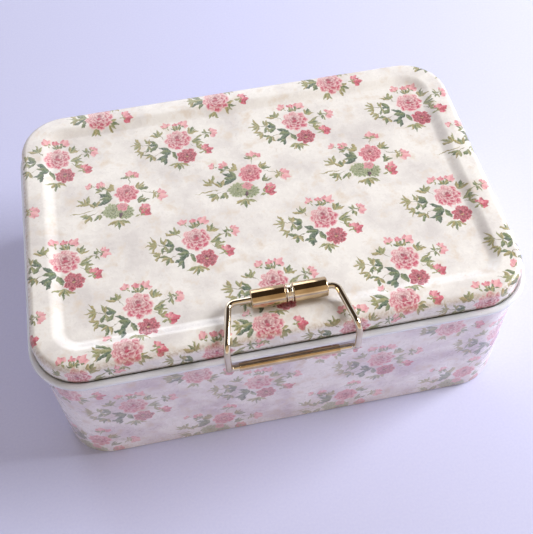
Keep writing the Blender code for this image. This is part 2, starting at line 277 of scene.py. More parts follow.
# %% Shader sockets as Python values
class Signal:
    """A shader socket that takes part in Python expressions."""

    def __init__(self, socket):
        self.socket = socket

    def node(self, kind, settings=None, inputs=None, output=0):
        """Add any node beside this one: its settings first, then its sockets. Return one of its outputs."""
        tree = self.socket.id_data
        made = tree.nodes.new(kind)
        for name, value in (settings or {}).items():
            setattr(made, name, value)
        for name, value in (inputs or {}).items():
            if isinstance(value, Signal):
                tree.links.new(value.socket, made.inputs[name])
            else:
                made.inputs[name].default_value = value
        return Signal(made.outputs[output])

    def math(self, operation, *others):
        return self.node("ShaderNodeMath", {"operation": operation}, dict(enumerate((self, *others))))

    def __add__(self, other):
        return self.math("ADD", other)

    def __sub__(self, other):
        return self.math("SUBTRACT", other)

    def __mul__(self, other):
        return self.math("MULTIPLY", other)

    def __rsub__(self, other):
        return self.node("ShaderNodeMath", {"operation": "SUBTRACT"}, {0: other, 1: self})

    def __abs__(self):
        return self.math("ABSOLUTE")

    __radd__ = __add__
    __rmul__ = __mul__

    def scaled(self, factor, offset):
        """self * factor + offset in one node."""
        return self.math("MULTIPLY_ADD", factor, offset)

    def cut(self):
        """This value, kept between 0 and 1. A Mix factor is kept there anyway and doesn't need it."""
        return self.node("ShaderNodeClamp", inputs={0: self})

    def dot(self, other):
        return self.node("ShaderNodeVectorMath", {"operation": "DOT_PRODUCT"}, {0: self, 1: other}, "Value")

    def mix(self, first, second):
        """A colour from first, where this is 0, to second, where it is 1."""
        return self.node("ShaderNodeMix", {"data_type": "RGBA"}, {0: self, 6: first, 7: second}, 2)

    def moved(self, by):
        """This vector plus another."""
        return self.node("ShaderNodeVectorMath", {"operation": "ADD"}, {0: self, 1: by})

    def noise(self, scale, detail=2.0, roughness=0.5, shift=0.0):
        """Flat noise of about 0..1, read at this vector; shift moves to another stretch of it."""
        inputs = {"Vector": self.moved((shift, shift, 0)), "Scale": scale}
        inputs |= {"Detail": detail, "Roughness": roughness}
        return self.node("ShaderNodeTexNoise", {"noise_dimensions": "2D"}, inputs)

    def grain(self, scale, detail):
        """Noise of about 0..1 in all three directions, for a finish that isn't printed."""
        return self.node("ShaderNodeTexNoise", inputs={"Vector": self, "Scale": scale, "Detail": detail})


def tint(red, green, blue):
    """A screen colour, 0 to 255 a channel, as the linear colour that a shader takes."""
    channels = [value / 255 for value in (red, green, blue)]
    linear = [value / 12.92 if value <= 0.04045 else ((value + 0.055) / 1.055) ** 2.4 for value in channels]
    return (*linear, 1)


def new_finish(name, **constants):
    """A material with its Principled shader's constants set, and a signal to start expressions from."""
    material = bpy.data.materials.new(name)
    material.use_nodes = True
    shader = material.node_tree.nodes["Principled BSDF"]
    for label, value in constants.items():
        shader.inputs[label.replace("_", " ")].default_value = value
    place = material.node_tree.nodes.new("ShaderNodeTexCoord").outputs["Object"]
    return material, shader, Signal(place)


def connect(shader, **signals):
    for label, signal in signals.items():
        shader.id_data.links.new(signal.socket, shader.inputs[label.replace("_", " ")])


def bump(height, strength, distance):
    """A normal from a height signal; distance is in metres."""
    inputs = {"Height": height, "Strength": strength, "Distance": distance}
    return height.node("ShaderNodeBump", inputs=inputs)


# %% [markdown]
# ## The print
#
# The sheet is printed while it is flat, so the pattern is worked out in flat millimetres, which each piece
# carries as its UV map. The pattern repeats: a spray with a pale peony and a crimson rose, and between the
# sprays a second one with a pink rose over a green hydrangea head. An image would be quicker, but drawn by
# sums the print stays sharp at any size.
#
# Every leaf, twig and bud is made of one pointed shape at many sizes, and every open flower of rings of
# petals. A point of the sheet is written as (x, y, 1), so one dot product turns, moves and scales it into
# the leaf's own measure. Both shapes are node groups, which keeps the tree short.


# %% A point of the sheet inside its repeat
def local_spot(sheet, origin, repeat):
    """(x, y, 1) in millimetres from the middle of the nearest spray; repeat is how far apart sprays are."""
    shift = (repeat[0] / 2 - origin[0], repeat[1] / 2 - origin[1], 0.5)
    inputs = {0: sheet.moved(shift), 1: (repeat[0], repeat[1], 1.0), 2: (0, 0, 0)}
    wrapped = sheet.node("ShaderNodeVectorMath", {"operation": "WRAP"}, inputs)
    return wrapped.moved((-repeat[0] / 2, -repeat[1] / 2, 0.5))


# %% Two shapes, each a node group
def shader_group(name, inputs, draw):
    """A node group whose result is a colour; draw is given its inputs as signals."""
    tree = new_tree(name, inputs, "ShaderNodeTree", "Color")
    given = tree.nodes.new("NodeGroupInput")
    result = draw(*[Signal(given.outputs[label]) for label, _ in inputs])
    tree.links.new(result.socket, tree.nodes.new("NodeGroupOutput").inputs[0])
    return tree


def draw_leaf(under, spot, along, across, sharpness, left_ink, right_ink):
    """Where 1 - u² - |v| is above zero is a pointed leaf; each side of its rib has its own ink."""
    u = spot.dot(along)
    v = spot.dot(across)
    ink = v.scaled(1.5, 0.5).mix(left_ink, right_ink)
    return ((1 - u.scaled(u, abs(v))) * sharpness).mix(under, ink)


def draw_ring(under, x, y, heading, reach, lift, half_petals, phase, sharpness, foot, deep, pale):
    """One ring of petals: their lips are waves round the middle, and they darken towards their feet.

    A long wave parts the petals, and one three times as short makes their lips ragged.
    """
    lower = y - lift
    distance = (x * x + lower * lower).math("SQRT")
    wave = abs(heading.scaled(half_petals, phase).math("COSINE"))
    ragged = abs((heading * half_petals).scaled(3.0, phase).math("COSINE"))
    room = (wave * 0.20 + ragged.scaled(0.07, 0.80)) * reach - distance
    shade = (1 - room * foot).cut() * (wave * 0.45 + ragged.scaled(0.5, 0.25))
    return (room * sharpness).mix(under, shade.mix(deep, pale))


LEAF_INPUTS = [("Under", "Color"), ("Spot", "Vector"), ("Along", "Vector"), ("Across", "Vector")]
LEAF_INPUTS += [("Sharpness", "Float"), ("Left ink", "Color"), ("Right ink", "Color")]
RING_INPUTS = [("Under", "Color"), ("x", "Float"), ("y", "Float"), ("Heading", "Float"), ("Reach", "Float")]
RING_INPUTS += [("Lift", "Float"), ("Half petals", "Float"), ("Phase", "Float"), ("Sharpness", "Float")]
RING_INPUTS += [("Foot", "Float"), ("Deep", "Color"), ("Pale", "Color")]
LEAF = shader_group("leaf", LEAF_INPUTS, draw_leaf)
RING = shader_group("petal_ring", RING_INPUTS, draw_ring)
print("leaf:", len(LEAF.nodes), "nodes; petal ring:", len(RING.nodes), "nodes")


# %% The print, built up in layers
def polar(centre, reach, heading):
    """The point at a distance from a centre, at a heading in degrees."""
    angle = radians(heading)
    return (centre[0] + reach * cos(angle), centre[1] + reach * sin(angle))


class Print:
    """Colours laid over one another in order, as a printer lays down inks."""

    def __init__(self, ground, spot):
        self.colour = ground
        self.spot = spot

    def leaf(self, root, tip, width, left_ink, right_ink):
        """A pointed shape from root to tip; places and widths are in millimetres."""
        rib = (Vector(tip) - Vector(root)) / 2
        half, middle, way = rib.length, Vector(root) + rib, rib.normalized()
        across = Vector((-way.y, way.x)) / (width / 2)
        inputs = {"Under": self.colour, "Spot": self.spot, "Sharpness": 1.2 + width * 1.6}
        inputs["Along"] = (way.x / half, way.y / half, -middle.dot(way) / half)
        inputs["Across"] = (across.x, across.y, -middle.dot(across))
        inputs |= {"Left ink": left_ink, "Right ink": right_ink}
        self.colour = self.colour.node("ShaderNodeGroup", {"node_tree": LEAF}, inputs)

    def twig(self, root, tip, width=0.4):
        self.leaf(root, tip, width, TWIG, TWIG)

    def fan(self, root, headings, length, width, *inks):
        """Leaves that spread from one point, at headings in degrees, in turn with each pair of inks."""
        for i, heading in enumerate(headings):
            reach = length * (1 - 0.18 * (i % 2))
            self.leaf(root, polar(root, reach, heading), width, *inks[i % len(inks)])

    def bud(self, root, heading, size, petals, sepal):
        """A half-open rose seen from the side."""
        deep, pale, middle = petals
        self.leaf(root, polar(root, size * 0.85, heading - 38), size * 0.6, pale, deep)
        self.leaf(root, polar(root, size * 0.85, heading + 38), size * 0.6, deep, middle)
        self.leaf(root, polar(root, size, heading), size * 0.62, middle, pale)
        self.fan(root, (heading + 65, heading - 65, heading + 180), size * 0.5, size * 0.22, sepal)

    def rose(self, centre, size, tilt, rings, petals, inks):
        """Rings of petals from the outside in; tilt lifts the inner ones, as in a flower seen from below."""
        deep, pale, heart = inks
        x = self.spot.dot((1 / size, 0, -centre[0] / size))
        y = self.spot.dot((0, 1 / size, -centre[1] / size))
        heading = y.math("ARCTAN2", x)
        for ring in range(rings):
            inward = ring / rings
            darker = [channel * (1 - 0.55 * inward) for channel in deep[:3]]
            inputs = {"Under": self.colour, "x": x, "y": y, "Heading": heading}
            inputs |= {"Reach": 1 - 0.86 * inward, "Lift": tilt * inward}
            inputs |= {"Half petals": (petals - ring) / 2, "Phase": 1.3 * ring}
            inputs |= {"Sharpness": size * 2.6, "Foot": 0.95 * rings, "Deep": (*darker, 1), "Pale": pale}
            self.colour = self.colour.node("ShaderNodeGroup", {"node_tree": RING}, inputs)
        self.leaf(polar(centre, size * 0.2, 180), polar(centre, size * 0.2, 0), size * 0.3, heart, deep)


# %% The inks
SAGE = (tint(160, 162, 112), tint(122, 130, 80))
OLIVE = (tint(176, 166, 112), tint(132, 126, 74))
MOSS = (tint(118, 134, 88), tint(76, 98, 62))
TEAL = (tint(80, 108, 80), tint(44, 72, 56))
TWIG = tint(118, 116, 80)
PALE_PETALS = (tint(208, 118, 136), tint(240, 186, 190), tint(228, 152, 164))
ROSY_PETALS = (tint(196, 88, 112), tint(234, 160, 170), tint(216, 122, 140))
CRIMSON_PETALS = (tint(150, 34, 62), tint(216, 98, 122), tint(184, 60, 88))
PEONY = (tint(200, 70, 104), tint(255, 236, 234), tint(168, 44, 74))
PINK_ROSE = (tint(192, 58, 92), tint(252, 196, 202), tint(240, 204, 190))
CRIMSON_ROSE = (tint(140, 22, 54), tint(232, 128, 146), tint(196, 180, 122))
HYDRANGEA = (tint(104, 124, 82), tint(204, 210, 172), tint(140, 152, 100))


# %% The sprays
def peony_spray(inks):
    """A peony with a crimson rose below it, buds above and to the right, and dark leaves to the left."""
    inks.twig((-8, -2.2), (-19.0, 1.2))
    inks.twig((-8.5, -4), (-17.5, -3.6))
    inks.twig((-7.5, -6), (-14.5, -8.6))
    inks.twig((-5.0, 1.0), (-9.4, 6.4))
    inks.twig((7, 0), (16, 1.2))
    inks.twig((5, -3), (10.8, -8.6))
    inks.fan((-15.6, 0.2), (118, 148, 178, 208, 236), 5.2, 1.2, OLIVE, SAGE)
    inks.fan((-12.6, -0.8), (104, 76, 252, 286), 4.6, 1.4, SAGE, OLIVE, MOSS)
    inks.fan((-14.6, -3.8), (172, 206, 238), 4.8, 1.3, OLIVE, SAGE)
    inks.fan((-11.4, -6.8), (168, 204, 246, 286), 4.6, 1.6, MOSS, OLIVE)
    inks.fan((-7.6, 3.2), (92, 124, 156, 60), 4.8, 1.5, SAGE, MOSS, OLIVE)
    inks.fan((-8.6, -1.6), (130, 164, 222), 5.0, 2.0, MOSS, TEAL)
    inks.fan((-3.2, -6.4), (146, 176, 214, 290), 6.6, 2.2, TEAL, MOSS)
    inks.fan((-5.6, -9.4), (186, 216, 246), 4.6, 1.9, TEAL, MOSS)
    inks.fan((-0.8, -13.2), (198, 232, 262, 292, 324), 5.2, 1.4, SAGE, OLIVE, MOSS)
    inks.fan((5.6, 2.4), (10, 36, 60, 86), 4.8, 1.5, OLIVE, SAGE, MOSS)
    inks.fan((5.6, -2.6), (346, 8, 30), 6.4, 1.5, SAGE, MOSS)
    inks.fan((7.6, -6.2), (70, 22, 336), 3.8, 1.5, SAGE, OLIVE)
    inks.fan((13.0, 0.8), (96, 132, 282, 244), 3.2, 1.1, SAGE, MOSS)
    inks.fan((0.6, 5.6), (48, 84, 118, 150), 3.8, 1.1, OLIVE, MOSS)
    inks.bud((-3.4, 8.0), 112, 3.6, PALE_PETALS, SAGE)
    inks.bud((0.0, 8.0), 86, 2.8, ROSY_PETALS, SAGE)
    inks.bud((2.8, 7.2), 48, 4.4, PALE_PETALS, MOSS)
    inks.bud((14.6, 1.2), -24, 4.0, PALE_PETALS, MOSS)
    inks.bud((14.8, 1.8), 38, 2.8, PALE_PETALS, SAGE)
    inks.bud((10.4, -8.8), 14, 4.8, CRIMSON_PETALS, SAGE)
    inks.bud((10.6, -8.0), 68, 3.0, ROSY_PETALS, SAGE)
    inks.rose((0.3, -0.2), 5.9, 0.32, 5, 8, PEONY)
    inks.rose((3.0, -10.2), 4.3, 0.22, 4, 7, CRIMSON_ROSE)


def hydrangea_spray(inks):
    """A pink rose over a green hydrangea head, with a long twig to the left and buds all round."""
    inks.leaf((-13, -6.4), (-25.2, -7.0), 0.7, *OLIVE)
    inks.twig((-8, -4), (-19.5, -2.2))
    inks.twig((-12, -7), (-19.6, -10.4))
    inks.twig((-6, 1.6), (-9.8, 6.0))
    inks.twig((5, 0.8), (13.4, -3.6))
    inks.twig((1.0, 4), (2.4, 9.4))
    inks.fan((-16.6, -3.2), (76, 104, 136, 166), 5.6, 1.4, SAGE, OLIVE)
    inks.fan((-13.4, -5.4), (64, 96, 128), 5.0, 1.6, OLIVE, MOSS)
    inks.fan((-15.6, -8.4), (178, 206, 236, 268), 4.8, 1.5, SAGE, MOSS, OLIVE)
    inks.fan((-11.4, -8.2), (226, 258, 20), 4.8, 1.8, MOSS, SAGE)
    inks.fan((-6.0, -1.6), (146, 172, 200, 120), 6.8, 2.3, TEAL, MOSS)
    inks.fan((-5.0, 2.4), (108, 134, 160), 4.8, 1.7, OLIVE, SAGE)
    inks.fan((-9.8, 3.4), (150, 190, 84), 3.6, 1.3, MOSS, SAGE)
    inks.fan((4.4, 1.6), (46, 22, 358, 74), 5.2, 1.4, OLIVE, SAGE, MOSS)
    inks.fan((4.0, -6.0), (62, 40, 16), 5.2, 1.4, MOSS, SAGE)
    inks.fan((-4.4, -13.2), (204, 236, 266, 296, 328), 5.4, 1.6, OLIVE, SAGE, MOSS)
    inks.fan((2.2, 8.2), (168, 140, 40, 12), 3.8, 1.0, MOSS, SAGE)
    inks.fan((11.2, -2.6), (40, 86, 246, 280), 3.0, 1.0, SAGE, OLIVE)
    inks.bud((-9.6, 5.6), 132, 3.8, ROSY_PETALS, MOSS)
    inks.bud((-10.4, 6.0), 76, 2.8, PALE_PETALS, SAGE)
    inks.bud((-14.2, 6.6), 152, 3.0, PALE_PETALS, SAGE)
    inks.bud((2.2, 8.8), 84, 3.8, PALE_PETALS, SAGE)
    inks.bud((4.0, 8.6), 32, 2.8, ROSY_PETALS, SAGE)
    inks.bud((12.6, -3.2), -32, 4.6, PALE_PETALS, OLIVE)
    inks.bud((12.8, -2.6), 30, 3.0, PALE_PETALS, SAGE)
    inks.bud((4.4, -11.8), 26, 5.4, CRIMSON_PETALS, SAGE)
    inks.bud((6.4, -9.6), 66, 3.4, ROSY_PETALS, SAGE)
    inks.rose((-6.4, -8.2), 4.2, 0.10, 4, 13, HYDRANGEA)
    inks.rose((-1.6, -9.8), 3.7, 0.10, 4, 12, HYDRANGEA)
    inks.rose((-2.4, -6.6), 2.4, 0.20, 3, 7, PALE_PETALS)
    inks.leaf((-3.6, -12.6), (-3.0, -9.6), 1.9, tint(92, 34, 66), tint(40, 16, 34))
    inks.rose((0.0, 0.0), 5.0, 0.28, 5, 8, PINK_ROSE)


def edge_spray(inks):
    """A single large peony that falls on the lid's long edges."""
    inks.twig((-5, 1), (-16, 3))
    inks.fan((-5.0, 1.4), (150, 178, 206, 238), 7.4, 2.0, MOSS, SAGE, TEAL)
    inks.fan((-9.5, 1.6), (134, 164, 232, 204), 4.6, 1.5, OLIVE, SAGE)
    inks.fan((3.6, -3.0), (282, 312, 342, 16), 5.2, 1.5, OLIVE, SAGE, MOSS)
    inks.fan((-2.0, -5.0), (232, 262, 290), 4.4, 1.4, SAGE, OLIVE)
    inks.bud((10.4, -1.6), -8, 4.6, CRIMSON_PETALS, SAGE)
    inks.bud((10.6, -0.8), 52, 3.4, ROSY_PETALS, SAGE)
    inks.bud((-6.0, 6.6), 128, 3.2, PALE_PETALS, SAGE)
    inks.rose((0.0, 0.0), 6.2, 0.30, 5, 8, PEONY)


# %% The printed and varnished sheet
def nearer_spot(first, second):
    """Of two repeats of one spray, the one whose middle is nearer."""
    flat = (1, 1, 0)
    lengths = []
    for spot in (first, second):
        plain = spot.node("ShaderNodeVectorMath", {"operation": "MULTIPLY"}, {0: spot, 1: flat})
        lengths.append(plain.dot(plain))
    settings = {"data_type": "VECTOR"}
    inputs = {0: lengths[0].math("GREATER_THAN", lengths[1]), 4: first, 5: second}
    return first.node("ShaderNodeMix", settings, inputs, 1)


def aged_ground(flat, light, cloud, stain):
    """Off-white enamel with clouds and stains; returns the colour and the stains for the gloss."""
    clouds = flat.noise(0.05, 5.0, 0.62)
    stains = flat.noise(0.13, 4.0, 0.65, 40.0)
    colour = clouds.scaled(3.4, -1.35).mix(light, cloud)
    return stains.scaled(3.6, -1.95).mix(colour, stain), stains


def printed_finish(name, grounds, peony_at, hydrangea_at, edge_at, fading):
    """The whole print for one sheet; the sprays' first places are in flat millimetres."""
    material, shader, place = new_finish(name, Coat_Weight=0.25, Coat_Roughness=0.14)
    flat = place.node("ShaderNodeUVMap", {"uv_map": "flat_sheet"})
    drift = {"X": flat.noise(0.4).scaled(2.0, -1.0), "Y": flat.noise(0.4, shift=70.0).scaled(2.0, -1.0)}
    sheet = flat.moved(flat.node("ShaderNodeCombineXYZ", inputs=drift))
    ground, stains = aged_ground(flat, *grounds)

    repeats = [local_spot(sheet, start, repeat) for start, repeat in peony_at]
    layers = Print(ground, nearer_spot(*repeats) if len(repeats) > 1 else repeats[0])
    peony_spray(layers)
    layers.spot = local_spot(sheet, *hydrangea_at)
    hydrangea_spray(layers)
    layers.spot = local_spot(sheet, *edge_at)
    edge_spray(layers)

    wash = flat.noise(1.3, 3.0, 0.7, 90.0).scaled(1.8, -0.55).cut() * 0.38
    colour = (wash + fading).mix(layers.colour, ground)
    specks = flat.noise(0.33, 5.0, 0.75, 170.0).scaled(7.0, -4.6).cut() * 0.5
    colour = specks.mix(colour, tint(178, 156, 128))
    rub = place.node("ShaderNodeAttribute", {"attribute_name": "rubbed"}, output="Fac")
    scuffs = flat.noise(0.9, 4.0, 0.7, 250.0).scaled(3.2, -1.15).cut() * rub
    colour = scuffs.mix(colour, tint(168, 142, 108))
    connect(
        shader,
        Base_Color=colour,
        Roughness=stains.scaled(0.16, 0.20) + scuffs * 0.25,
        Normal=bump(flat.noise(0.28, 3.0, 0.55, 310.0) + scuffs * -0.15, 0.35, 0.0002),
    )
    print(f"{name}: {len(material.node_tree.nodes)} nodes")
    return material


LID_PRINT = printed_finish(
    "lid_print",
    (tint(243, 242, 240), tint(221, 218, 218), tint(224, 213, 200)),
    [((-28.0, 41.0), (52.0, 55.0)), ((-2.0, -40.5), (52.0, 119.0))],
    ((-0.5, 15.4), (52.0, 119.0)),
    ((-7.8, 59.2), (52.0, 119.6)),
    0.0,
)
# The wall's ground is a darker, lilac copy of the lid's: partly the tin's own mottled tint, and partly
# painted shade, because the upright wall gets less light than the lid.
WALL_PRINT = printed_finish(
    "wall_print",
    (tint(238, 235, 238), tint(208, 197, 208), tint(212, 197, 190)),
    [((-13.6, 39.0), (50.0, 90.0))],
    ((-29.0, 12.5), (52.5, 90.0)),
    ((-36.5, 53.5), (50.0, 90.0)),
    0.24,
)

# %% [markdown]
# ## Plain finishes
#
# The rolled rim is white enamel with painted shade on the underside of its roll, the inside is tinplate under
# lacquer, and the clasp is plated in a pale gold that is polished like a mirror, with a darker, warmer copy
# of the gold on its sleeves. Plain does not mean flat: each finish has a little change of colour or gloss
# that the light picks out.


# %% Enamel, tinplate, gold and nickel
def enamel_finish():
    """Glossy, nearly white, with painted shade on the underside of the roll, where it meets the wall."""
    material, shader, place = new_finish("rim_enamel", Coat_Weight=0.6, Coat_Roughness=0.08)
    patches = place.grain(60.0, 3.0)
    grime = place.grain(700.0, 4.0)
    colour = patches.scaled(2.0, -0.6).mix(tint(230, 236, 246), tint(212, 218, 228))
    colour = grime.scaled(5.0, -3.3).mix(colour, tint(190, 182, 168))
    # Painted shade: from a little below the roll's middle, the enamel darkens down to its underside by the
    # wall.
    steepness = 3.2
    below = place.dot((0, 0, -1 / RIM_RADIUS))
    underside_shade = below.scaled(steepness, steepness * RIM_HEIGHT / RIM_RADIUS - 1.5).cut()
    colour = (underside_shade * 0.8).mix(colour, tint(112, 106, 92))
    connect(shader, Base_Color=colour, Roughness=patches.scaled(0.15, 0.16))
    return material


def tinplate_finish():
    """Satin, with the crystal flakes of tin showing faintly through the lacquer."""
    material, shader, place = new_finish("tinplate", Metallic=1.0)
    cells = {"Vector": place, "Scale": 260.0}
    spangle = place.node("ShaderNodeTexVoronoi", {"feature": "F1"}, cells, "Color")
    grain = place.grain(900.0, 2.0)
    tone = spangle.dot((0.35, 0.4, 0.25))
    colour = tone.scaled(1.2, -0.1).mix(tint(196, 192, 180), tint(214, 209, 196))
    connect(
        shader,
        Base_Color=colour,
        Roughness=grain.scaled(0.12, 0.24) + tone * 0.06,
        Normal=bump(grain, 0.12, 0.00005),
    )
    return material


def plated_finish(name, light, dark, gloss):
    """Plating between two colours, with fine scratches lengthwise; a lower gloss value is shinier."""
    material, shader, place = new_finish(name, Metallic=1.0)
    cloud = place.grain(120.0, 4.0)
    stretched = place.node("ShaderNodeMapping", {}, {"Vector": place, "Scale": (60.0, 900.0, 900.0)})
    scratches = stretched.grain(1.0, 4.0)
    colour = cloud.scaled(2.2, -0.6).mix(light, dark)
    fine = scratches.scaled(4.0, -2.2).cut()
    connect(
        shader,
        Base_Color=colour,
        Roughness=fine.scaled(0.14, gloss) + cloud * 0.05,
        Normal=bump(scratches, 0.05, 0.00002),
    )
    return material


RIM_ENAMEL = enamel_finish()
TINPLATE = tinplate_finish()
CLASP_GOLD = plated_finish("clasp_gold", tint(232, 224, 208), tint(208, 192, 164), 0.04)
# A darker, warmer copy of the gold, for the clasp's sleeve and the grip's two sleeves.
DARK_GOLD = plated_finish("worn_gold", tint(226, 206, 172), tint(176, 150, 116), 0.05)
HINGE_NICKEL = plated_finish("hinge_nickel", tint(202, 200, 194), tint(176, 172, 164), 0.16)

# %% [markdown]
# ## The body
#
# The wall is one strip. Its lower edge is folded under, and its upper edge is rolled outwards into the white
# rim, which stiffens the mouth. The section below is drawn as the real roll is made: one line for each face
# of the sheet, a sheet's thickness apart.

# %% Wall
CURL_END = -110
HEM = 1.5 * MM
HEM_WIDTH = 4 * MM


def wall_section():
    rim, fold = (RIM_OUTSET - RIM_RADIUS, RIM_HEIGHT), (-HEM, HEM)
    points = arc(fold, HEM, -90, 0, 8)
    points += [(0, 12 * MM), (0, RIM_HEIGHT - 8 * MM)]
    points += arc(rim, RIM_RADIUS - SHEET, 180, CURL_END, 28)
    points += arc(rim, RIM_RADIUS, CURL_END, 180, 28)
    points += arc(fold, HEM - SHEET, 0, -90, 8)
    return points + [(-HEM_WIDTH, SHEET), (-HEM_WIDTH, 0)]


wall = carry("wall_strip", wall_section(), True, WALL_PRINT)


# %% Flat millimetres on a bent sheet
def mesh_arrays(mesh):
    """Vertex places, and for each face corner its vertex and the middle of its face."""
    places = np.zeros(len(mesh.vertices) * 3)
    mesh.vertices.foreach_get("co", places)
    corners = np.zeros(len(mesh.loops), int)
    mesh.loops.foreach_get("vertex_index", corners)
    middles = np.zeros(len(mesh.polygons) * 3)
    mesh.polygons.foreach_get("center", middles)
    counts = np.zeros(len(mesh.polygons), int)
    mesh.polygons.foreach_get("loop_total", counts)
    middles = middles.reshape(-1, 3)
    return places.reshape(-1, 3), corners, middles, np.repeat(middles, counts, axis=0)


def from_corner_centre(places):
    """The nearest point of the inner rectangle, and the way out from it to each place."""
    reach = np.array([HALF_LENGTH - CORNER, HALF_WIDTH - CORNER])
    near = np.clip(places[:, :2], -reach, reach)
    return near, places[:, :2] - near, reach


def store_flat(obj, flat, rubbed):
    """Keep flat millimetres as a UV map, and how rubbed each point is as an attribute."""
    layer = obj.data.uv_layers.new(name="flat_sheet")
    layer.data.foreach_set("uv", flat.astype(np.float32).ravel())
    worn = obj.data.attributes.new("rubbed", "FLOAT", "POINT")
    worn.data.foreach_set("value", rubbed.astype(np.float32))


def unroll_wall(obj):
    """Along the strip from the middle of the front, and up it."""
    places, corners, middles, faces = mesh_arrays(obj.data)
    side = np.where(faces[:, 0] < 0, -1.0, 1.0)
    near, away, reach = from_corner_centre(places[corners])
    near_x, out_x = near[:, 0] * side, away[:, 0] * side
    bend = np.arctan2(away[:, 1], out_x)
    quarter = CORNER * pi / 2
    front = near_x + CORNER * bend + quarter + near[:, 1] + reach[1]
    back = 2 * reach[0] + quarter + 2 * reach[1] + CORNER * bend - near_x
    along = side * np.where(bend <= 1e-6, front, back)
    flat = np.stack([along, places[corners][:, 2]], axis=1) / MM
    low = np.exp(-((places[:, 2] / (1.6 * MM)) ** 2))
    high = 0.35 * np.exp(-(((places[:, 2] - RIM_HEIGHT) / (4 * MM)) ** 2))
    store_flat(obj, flat, low + high)
    outset = np.linalg.norm(from_corner_centre(middles)[1], axis=1) - CORNER
    rim = (outset > 0.05 * MM) | ((middles[:, 2] > RIM_HEIGHT) & (outset > -SHEET))
    inside = (outset < -0.2 * MM) & (middles[:, 2] > SHEET / 2) & ~rim
    obj.data.polygons.foreach_set("material_index", np.where(rim, 1, np.where(inside, 2, 0)))
    print(f"{obj.name}: print is {np.ptp(flat[:, 0]):.0f} mm long, rim has {rim.sum()} faces")


wall.data.materials.append(RIM_ENAMEL)
wall.data.materials.append(TINPLATE)
unroll_wall(wall)

# %% [markdown]
# The collar is a plain band inside the wall that guides the lid's skirt. The bottom is a shallow pan; its
# panel steps down to the table, so it is drawn as an open section, closed in the middle and thickened.

# %% Collar and bottom
collar_low, collar_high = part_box("base_collar")
bottom_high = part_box("base_bottom")[1]


def collar_section():
    outer = collar_high.x - HALF_LENGTH
    inner, top, bottom = outer - SHEET, collar_high.z, collar_low.z
    lip = SHEET / 2
    return [(outer, bottom), *arc((outer - lip, top - lip), lip, 0, 180, 6), (inner, bottom)]


def thicken(obj, inner_slot=0):
    """Give an open sheet its thickness, inwards."""
    solid = obj.modifiers.new("thickness", "SOLIDIFY")
    solid.thickness = SHEET
    solid.offset = -1
    solid.use_even_offset = True
    solid.material_offset = inner_slot
    return keep_result(obj)


def pan_section():
    lift = HALF_LENGTH - bottom_high.x
    points = [(-lift, bottom_high.z)] + arc((-HEM, HEM), HEM - lift, 0, -90, 8)
    return points + [(-4.6 * MM, lift), (-5.0 * MM, lift * 0.8), (-5.6 * MM, lift * 0.1), (-5.9 * MM, 0)]


def face_up(obj):
    """Turn an open sheet's faces so that its printed or outer side faces away from the tin."""
    middle = (RIM_HEIGHT / 2) if obj.name != "lid_sheet" else (LID_BOTTOM - 20 * MM)
    largest = max(obj.data.polygons, key=lambda face: face.area)
    if largest.normal.z * (largest.center.z - middle) < 0:
        obj.data.flip_normals()
    return obj


collar = carry("inner_collar", collar_section(), True, TINPLATE)
pan = thicken(face_up(carry("bottom_pan", pan_section(), False, TINPLATE, fill_panel=True)))

# %% [markdown]
# ## The lid
#
# The press gives the lid a rounded edge, a flat border and a sunk panel. The panel's slope is a smooth step,
# 3t² - 2t³, because sheet metal never bends at a sharp corner. The print was flat before pressing, so on the
# skirt it continues past the lid's edge by the length of the bend.

# %% Lid
BORDER, SLOPE, DEPTH = 8.0 * MM, 5.6 * MM, 1.9 * MM


def lid_section():
    """From the skirt's lower edge over the rounded edge to the foot of the sunk panel's slope."""
    points = [(0, LID_BOTTOM), (0, LID_BOTTOM + 1.5 * MM)]
    points += arc((-LID_EDGE, LID_TOP - LID_EDGE), LID_EDGE, 0, 90, 12)
    steps = 14
    for i in range(steps + 1):
        t = i / steps
        points.append((-(BORDER + SLOPE * t), LID_TOP - DEPTH * (3 * t**2 - 2 * t**3)))
    return points


def unroll_lid(obj):
    """The lid pressed flat again: its skirt lies outside its edge."""
    places, corners, _, _ = mesh_arrays(obj.data)
    near, away, _ = from_corner_centre(places)
    distance = np.linalg.norm(away, axis=1)
    outset = distance - CORNER
    rise = places[:, 2] - (LID_TOP - LID_EDGE)
    bend = np.arctan2(np.maximum(rise, 0), np.maximum(outset + LID_EDGE, 1e-9))
    reach = -LID_EDGE + LID_EDGE * (pi / 2 - bend) + np.maximum(-rise, 0)
    reach = np.where((outset > -LID_EDGE) | (rise < 0), reach, outset)
    way = away / np.maximum(distance, 1e-9)[:, None]
    flat = np.where(distance[:, None] > 0, near + way * (CORNER + reach)[:, None], places[:, :2])
    edge = np.exp(-(((reach + 0.4 * MM) / (1.3 * MM)) ** 2))
    hem = np.exp(-(((places[:, 2] - LID_BOTTOM) / (0.7 * MM)) ** 2))
    store_flat(obj, flat[corners] / MM, 0.6 * edge + hem)


lid = carry("lid_sheet", lid_section(), False, LID_PRINT, fill_panel=True)
face_up(lid)
unroll_lid(lid)
lid.data.materials.append(TINPLATE)
thicken(lid, inner_slot=1)

# %% [markdown]
# ## The clasp
#
# A single wire makes the clasp. Its ends turn in a sleeve that is rolled from a strip and clinched through
# the wall. Geometry Nodes bends the wire: the corners are drawn as a bent line, each with its own bending
# radius, and Fillet Curve rounds them before a circle is carried along.

# %% Wire
bail_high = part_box("clasp_bail")[1]
sleeve_low, sleeve_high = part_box("clasp_knuckle")
grip_low, grip_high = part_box("grip_core")
WIRE = 1.25 * MM
BORE = WIRE + 0.1 * MM
GRIP_LINE = Vector((0, grip_low.y + grip_high.y, grip_low.z + grip_high.z)) / 2
GRIP_MIDDLE = (grip_low.x + grip_high.x) / 2
PIVOT = next(Vector(joint["pos_m"]) for joint in frame["joints"] if joint["name"] == "clasp_pivot")
LEG = bail_high.x - WIRE


